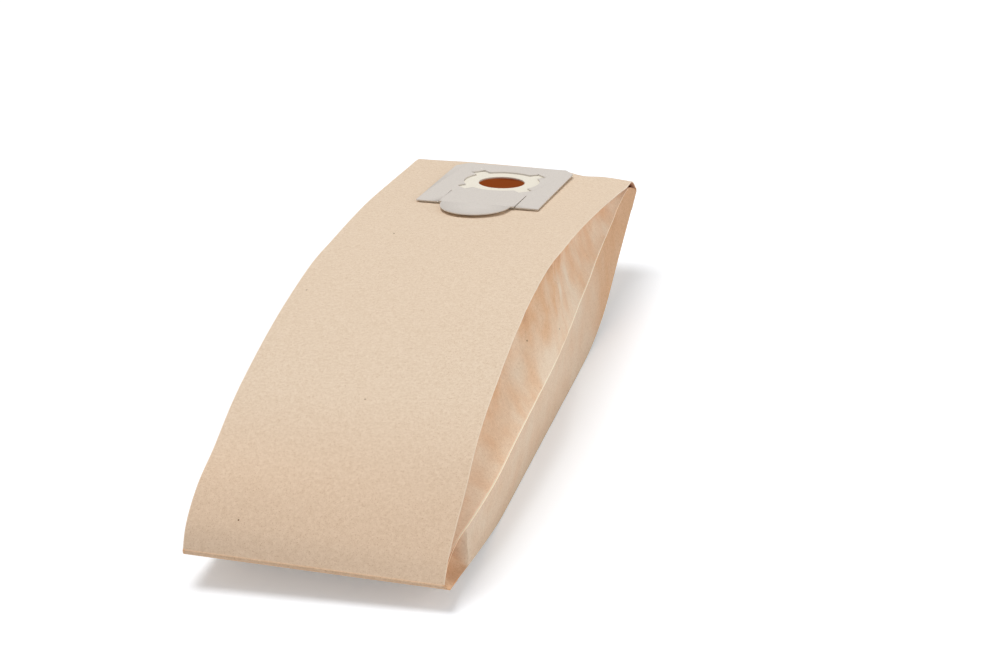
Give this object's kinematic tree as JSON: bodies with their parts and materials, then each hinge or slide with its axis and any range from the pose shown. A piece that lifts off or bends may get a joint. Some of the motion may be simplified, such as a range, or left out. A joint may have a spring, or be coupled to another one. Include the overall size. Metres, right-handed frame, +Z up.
{
  "type": "vacuum dust bag",
  "caption": "Gusseted kraft paper dust bag for a wet and dry vacuum, opened out, with a stiff card collar around its inlet.",
  "frame": {"origin": "centre of the bag's footprint box, on the floor it lies on", "axes": "+Y along the bag from the plain end to the collar end, +Z up, +X to the right when seen from the plain end"},
  "size_m": [0.268, 0.846, 0.1664],
  "materials": {
    "kraft_paper": "light brown kraft filter paper with a fine fibre mottle",
    "cream_board": "smooth cream card",
    "grey_board": "smooth light grey card"
  },
  "bodies": {
    "root": {"paper_bag": "kraft_paper", "collar_back_board": "cream_board", "collar_front_board": "grey_board"}
  },
  "joints": []
}
